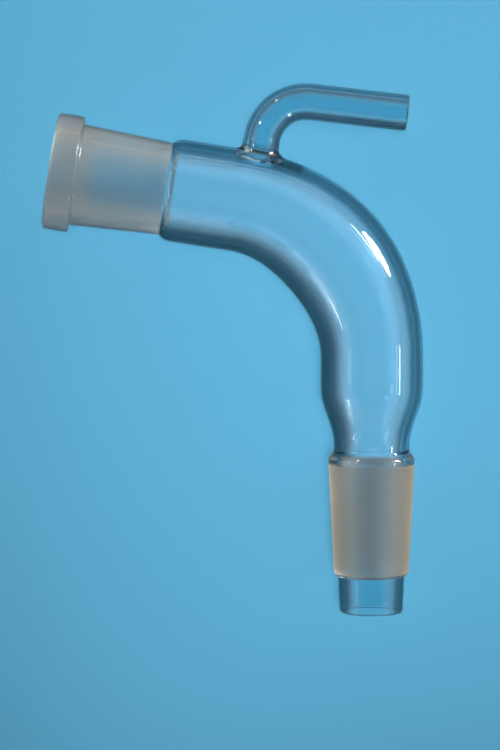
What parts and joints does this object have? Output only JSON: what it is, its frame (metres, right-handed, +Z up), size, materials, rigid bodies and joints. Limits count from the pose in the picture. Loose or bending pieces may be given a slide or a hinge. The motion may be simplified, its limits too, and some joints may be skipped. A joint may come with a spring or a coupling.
{
  "type": "vacuum take off adapter",
  "caption": "Bent glass vacuum take off adapter: a ground socket, a swollen elbow with a hose arm, and a necked ground cone with a drip tip.",
  "frame": {"origin": "middle of the bounding box's lower face, on the table that the adapter lies on", "axes": "+X from the socket towards the cone's side, +Y from the drip tip up to the bend, +Z up from the table"},
  "size_m": [0.1054, 0.1472, 0.0323],
  "materials": {
    "glass": "clear fire polished glass, with the socket's bore and the cone's outside ground to a fine matt"
  },
  "bodies": {
    "root": {"glass_adapter": "glass"}
  },
  "joints": []
}
